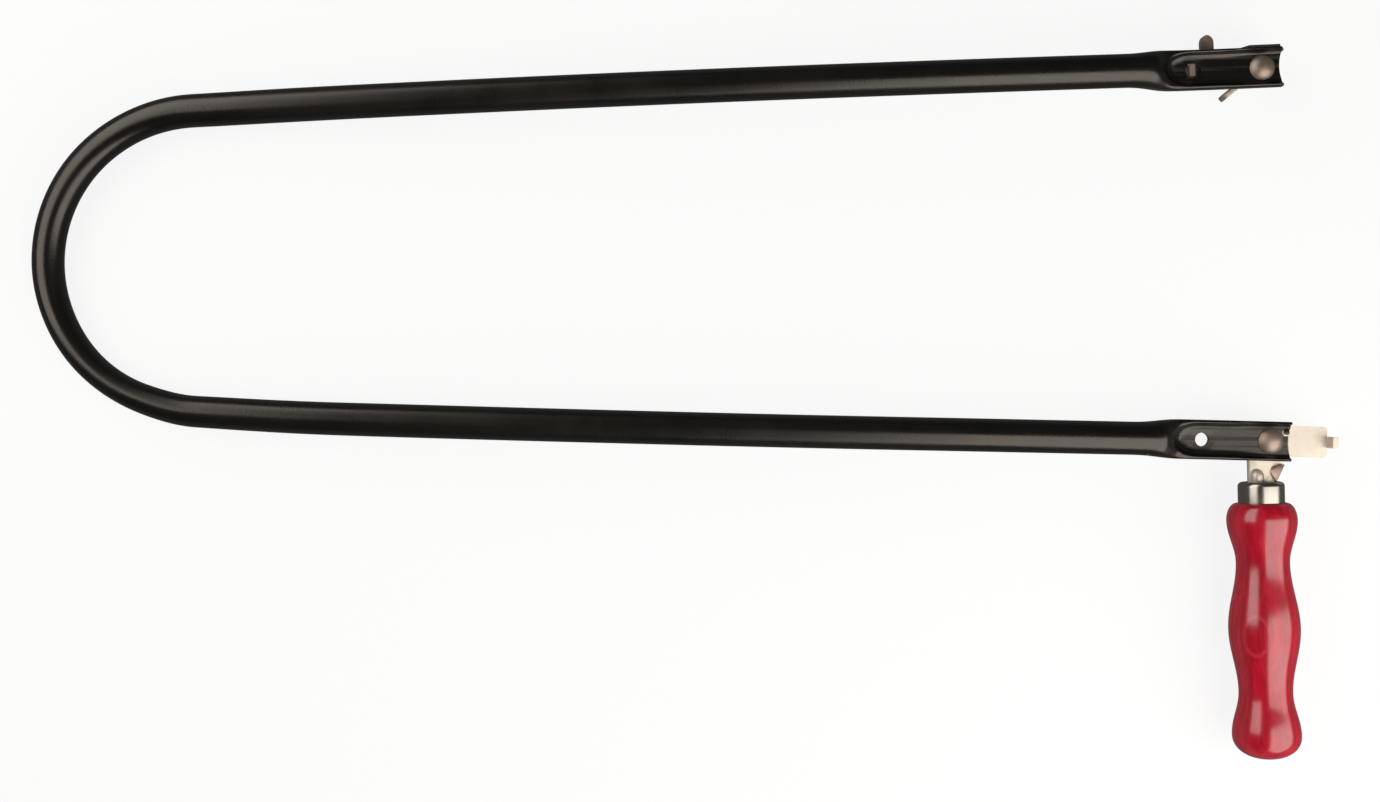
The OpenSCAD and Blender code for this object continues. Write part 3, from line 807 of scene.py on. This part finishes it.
# Wing nuts: pressed steel, a waisted hub with two rounded ears that stand away from the jaw. They run on
# the bolts' threads, and the plating has worn to a warm grey.
nut_plate = Finish("worn_plate")
at = nut_plate.place()
wear = nut_plate.noise(at, 320, 5, 0.65)
nut_plate.show(
    Base_Color=nut_plate.blend(wear, (0.44, 0.36, 0.30), (0.68, 0.60, 0.52)),
    Metallic=0.85,
    Roughness=nut_plate.between(wear, 0.3, 0.7, 0.36, 0.5),
    Normal=nut_plate.relief(wear, 0.12, 0.0001),
)
WING_T, WING_EDGE, EAR_R = 1.8, 0.25, 3.2
NUT_H, HUB_H, HUB_R = 8, 4.2, 4.3
UPPER_WING_R, LOWER_WING_R = 14.9, 14.1
UPPER_TURN, LOWER_TURN = 38, 0


def wing_nut(name, wing_r, top, turn, place, body, node):
    """A nut under its washer, turned by some degrees on its bolt."""
    place = place @ Matrix.Rotation(math.radians(turn), 4, "Z")
    hole, low = BOLT_R + PLAY, top - HUB_H
    hub_profile = [
        (hole, top), (HUB_R - 0.15, top), (HUB_R, top - 0.15), (HUB_R - 0.1, top - 1.2),
        (HUB_R - 0.6, top - 2.6), (HUB_R - 0.8, low + 0.3), (HUB_R - 1.05, low), (hole, low), (hole, top),
    ]
    hub = turned(name, hub_profile, place, nut_plate)
    root, middle = BOLT_R + 0.4, wing_r - EAR_R
    outline = [(root, -HUB_H + 0.2), (root, -0.5), (HUB_R, -0.5), (middle - 2.5, -0.75)]
    outline += [
        (middle + EAR_R * math.cos(a), -NUT_H + EAR_R + EAR_R * math.sin(a))
        for a in (math.radians(75 - 15 * k) for k in range(12))
    ]
    outline += [(middle - 2.6, -NUT_H + 1.2), (HUB_R + 1.2, -HUB_H - 0.6), (HUB_R, -HUB_H + 0.1)]
    wings = []
    for side in (0, math.pi):
        stand = place @ Matrix.Rotation(side, 4, "Z") @ Matrix.Translation((0, 0, top))
        stand = stand @ Matrix.Rotation(math.pi / 2, 4, "X")
        wings.append(bevelled(prism("wing", outline, -WING_T / 2, WING_T / 2, stand), WING_EDGE))
    put(join(hub, wings), nut_plate, body, node)


upper_top, lower_top = [jaw_top - JAW_T - WASHER_T for jaw_top in (UPPER_JAW_TOP, LOWER_JAW_TOP)]
wing_nut("upper_winged_nut", UPPER_WING_R, upper_top, UPPER_TURN, UPPER, "upper_nut", "upper_wing_nut")
wing_nut("lower_winged_nut", LOWER_WING_R, lower_top, LOWER_TURN, LOWER, "lower_nut", "lower_wing_nut")

# Handle bracket: one zinc-plated pressing. Its top is the lower fixed jaw, its neck has a raised rib and
# a folded corner for stiffness, and its tang is driven into the handle. A stud keeps it from turning.
HANDLE_LEAN = math.radians(1.3187262474)
HANDLE_SIDE, FERRULE_DROP = 2.8, 14.6
PLATE_LEFT, PLATE_RIGHT, PLATE_TOP, PLATE_EDGE = -7.5, 7.2, 6.5, 0.25
NECK_FROM, TANG_RIGHT, TANG_END = -3.8, 1.9, -21
RIB_X, RIB_R, RIB_TOP, RIB_END = -HANDLE_SIDE - 1.7, 2.4, -12.3, -20
FOLD_PLAN = [(4.9, -8.4, 2.3), (TANG_RIGHT, -FERRULE_DROP + 0.1, 2.3), (0.1, -10.8, 0.1), (1, -9.2, 0.1)]
FOLD_SINK, FOLD_EDGE = 0.5, 0.15
STUD_H, STUD_EDGE = 3, 0.4

lower_middle, _ = arm_place(1, ARM_LENGTHS[1])
HANDLE = lying @ Matrix.Translation(lower_middle) @ Matrix.Rotation(HANDLE_LEAN, 4, "Z")
bracket_outline = [
    (PLATE_LEFT, PLATE_TOP), (PLATE_LEFT, TANG_END), (TANG_RIGHT, TANG_END),
    (TANG_RIGHT, -FERRULE_DROP), (PLATE_RIGHT, NECK_FROM), (PLATE_RIGHT, PLATE_TOP),
]
bracket = prism("pressed_bracket", bracket_outline, JAW_FACE, WEB_BACK, HANDLE)
rib_l = RIB_TOP - RIB_END
rib_profile = [(0, rib_l + RIB_R)]
rib_profile += [(RIB_R * math.sin(a), rib_l + RIB_R * math.cos(a)) for a in angles(10, 10, 1)]
rib_profile += [(RIB_R, 0), (0, 0)]
rib_place = HANDLE @ Matrix.Translation((RIB_X, RIB_END, WEB_BACK)) @ Matrix.Rotation(-math.pi / 2, 4, "X")
rib = turned("rib", rib_profile, rib_place, zinc, 48)
fold_verts = [(x, y, WEB_BACK + up) for x, y, up in FOLD_PLAN]
fold_verts += [(x, y, WEB_BACK - FOLD_SINK) for x, y, _ in FOLD_PLAN]
fold_sides = [(k, (k + 1) % 4, 4 + (k + 1) % 4, 4 + k) for k in range(4)]
fold = draw("fold", fold_verts, [(0, 1, 2), (0, 2, 3), (7, 6, 5, 4)] + fold_sides, HANDLE)
bevelled(fold, FOLD_EDGE)
stud_profile = [(0, 0), (STUD_R, 0), (STUD_R, STUD_H - STUD_EDGE), (STUD_R - STUD_EDGE, STUD_H), (0, STUD_H)]
stud = turned("stud", stud_profile, LOWER @ Matrix.Translation((*STUD_AT, WEB_BACK - 1)), zinc, 32)
bevelled(bracket, PLATE_EDGE)
combine(bracket, [prism("hole", fixed_hole, JAW_FACE - 1, WEB_BACK + 1, LOWER)])
combine(bracket, [rib, fold, stud], "UNION")
put(bracket, zinc, "frame", "handle_bracket")

# Ferrule: a nickel-plated cup, drawn with a rounded shoulder and an open mouth for the tang, and pushed
# over the handle's spigot.
nickel = Finish("nickel_plate")
at = nickel.place()
haze = nickel.noise(at, 200, 4)
nickel.show(
    Base_Color=nickel.blend(haze, (0.37, 0.335, 0.295), (0.45, 0.41, 0.365)),
    Metallic=1,
    Roughness=nickel.between(haze, 0.3, 0.7, 0.21, 0.27),
    Normal=nickel.relief(haze, 0.02, 0.0001),
)
CUP_R, CUP_L, CUP_WALL, CUP_EDGE = 8.1, 7.6, 0.8, 0.15
SHOULDER, MOUTH_R = 1.6, 6.2
INNER_R, INNER_FROM = (0.8, 1.0), SHOULDER + 0.2
down_handle = HANDLE @ Matrix.Translation((-HANDLE_SIDE, -FERRULE_DROP, JAW_FACE + 1))
down_handle = down_handle @ Matrix.Rotation(math.pi / 2, 4, "X")
inside = CUP_R - CUP_WALL
cup = [(MOUTH_R, CUP_EDGE), (MOUTH_R + CUP_EDGE, 0)]
cup += [
    (CUP_R - SHOULDER + SHOULDER * math.sin(a), SHOULDER - SHOULDER * math.cos(a)) for a in angles(10, 10)
]
cup += [(CUP_R, CUP_L - CUP_EDGE), (CUP_R - CUP_EDGE, CUP_L), (inside, CUP_L), (inside, INNER_FROM)]
cup += [
    (inside - INNER_R[0] + INNER_R[0] * math.cos(a), INNER_FROM - INNER_R[1] * math.sin(a))
    for a in angles(22.5, 5, 1)
]
cup += [(MOUTH_R, CUP_WALL), (MOUTH_R, CUP_EDGE)]
put(turned("nickel_cup", cup, down_handle, nickel, 192), nickel, "frame", "ferrule")

# Handle: beech, turned with two waists and a round foot, stained and lacquered red. The grain runs
# down it, and its rings come out as ovals where the belly cuts them.
lacquer = Finish("red_lacquered_beech")
centre = tuple(down_handle.translation)
turn = tuple(down_handle.to_euler("XYZ"))
figure = tuple(down_handle @ Vector((-6.2, 10.5, 54.3)))
along = lacquer.place(centre, turn, (1, 1, 9))
plain = lacquer.place(centre, turn)
fibre = lacquer.noise(along, 1300, 4, 0.65)
streak = lacquer.noise(along, 260, 3, 0.6)
mottle = lacquer.noise(plain, 110, 4, 0.6)
off_heart = lacquer.node(
    "ShaderNodeVectorMath",
    {"operation": "ADD"},
    {0: lacquer.place(centre, turn, (1, 1, 14)), 1: (0.004, -0.020, 0)},
)
rings = lacquer.node(
    "ShaderNodeTexWave",
    {"wave_type": "RINGS", "rings_direction": "Z"},
    {"Vector": off_heart, "Scale": 110, "Distortion": 2.2, "Detail": 2, "Detail Scale": 60},
    "Fac",
)
light = lacquer.between(streak * 0.55 + fibre * 0.45, 0.42, 0.68)
red = lacquer.blend(light, (0.33, 0.0005, 0.012), (0.52, 0.0025, 0.026))
red = lacquer.blend(lacquer.between(rings, 0.75, 1) * 0.3, red, (0.54, 0.01, 0.034))
red = lacquer.blend(lacquer.between(mottle, 0.5, 0.75) * 0.6, red, (0.26, 0.0004, 0.010))
oval = lacquer.distance(lacquer.place(figure, turn, (3.7, 40, 7)))
oval_line = lacquer.between(oval, 0.0008, 0.00098) * lacquer.between(oval, 0.0012, 0.001)
red = lacquer.blend(oval_line * lacquer.between(mottle, 0.35, 0.6) * 0.5, red, (0.62, 0.035, 0.07))
lacquer.show(
    Base_Color=red,
    Specular_IOR_Level=0.1,
    Roughness=lacquer.between(fibre, 0.3, 0.7, 0.4, 0.55),
    Coat_Weight=lacquer.between(mottle, 0.2, 0.6, 0.75, 1),
    Coat_IOR=1.7,
    Coat_Roughness=0.2,
    Normal=lacquer.relief(fibre * 0.6 + streak * 0.8, 0.22, 0.0003),
)

# The handle's shape: where it is fullest and slimmest, as shares of its length, and how thick it is there,
# as shares of the belly
TURNING_SHARES = [(0.068, 0.984), (0.234, 0.747), (0.491, 1), (0.741, 0.752), (0.907, 0.965)]
BELLY_R, HANDLE_L, SHOULDER_SHARE, FOOT_POWER = 12.45, 92.2, 0.69, 2.2
WOOD_STEPS = 20
wood = [(0, 0)]
down, thick = TURNING_SHARES[0]
for k in range(WOOD_STEPS + 1):
    a = math.pi / 2 * k / WOOD_STEPS
    wood.append((SHOULDER_SHARE + (thick - SHOULDER_SHARE) * math.sin(a), down * (1 - math.cos(a))))
for (down, thick), (next_down, next_thick) in zip(TURNING_SHARES, TURNING_SHARES[1:]):
    for k in range(1, WOOD_STEPS + 1):
        swell = (next_thick - thick) * (1 - math.cos(math.pi * k / WOOD_STEPS)) / 2
        wood.append((thick + swell, down + (next_down - down) * k / WOOD_STEPS))
down, thick = TURNING_SHARES[-1]
for k in range(1, WOOD_STEPS + 1):
    fall = math.sin(math.pi / 2 * k / WOOD_STEPS)
    wood.append((thick * max(1 - fall**FOOT_POWER, 0) ** (1 / FOOT_POWER), down + (1 - down) * fall))
wood_profile = [(r * BELLY_R, CUP_L + d * HANDLE_L) for r, d in wood]
put(turned("red_handle", wood_profile, down_handle, lacquer, 128), lacquer, "frame", "handle")
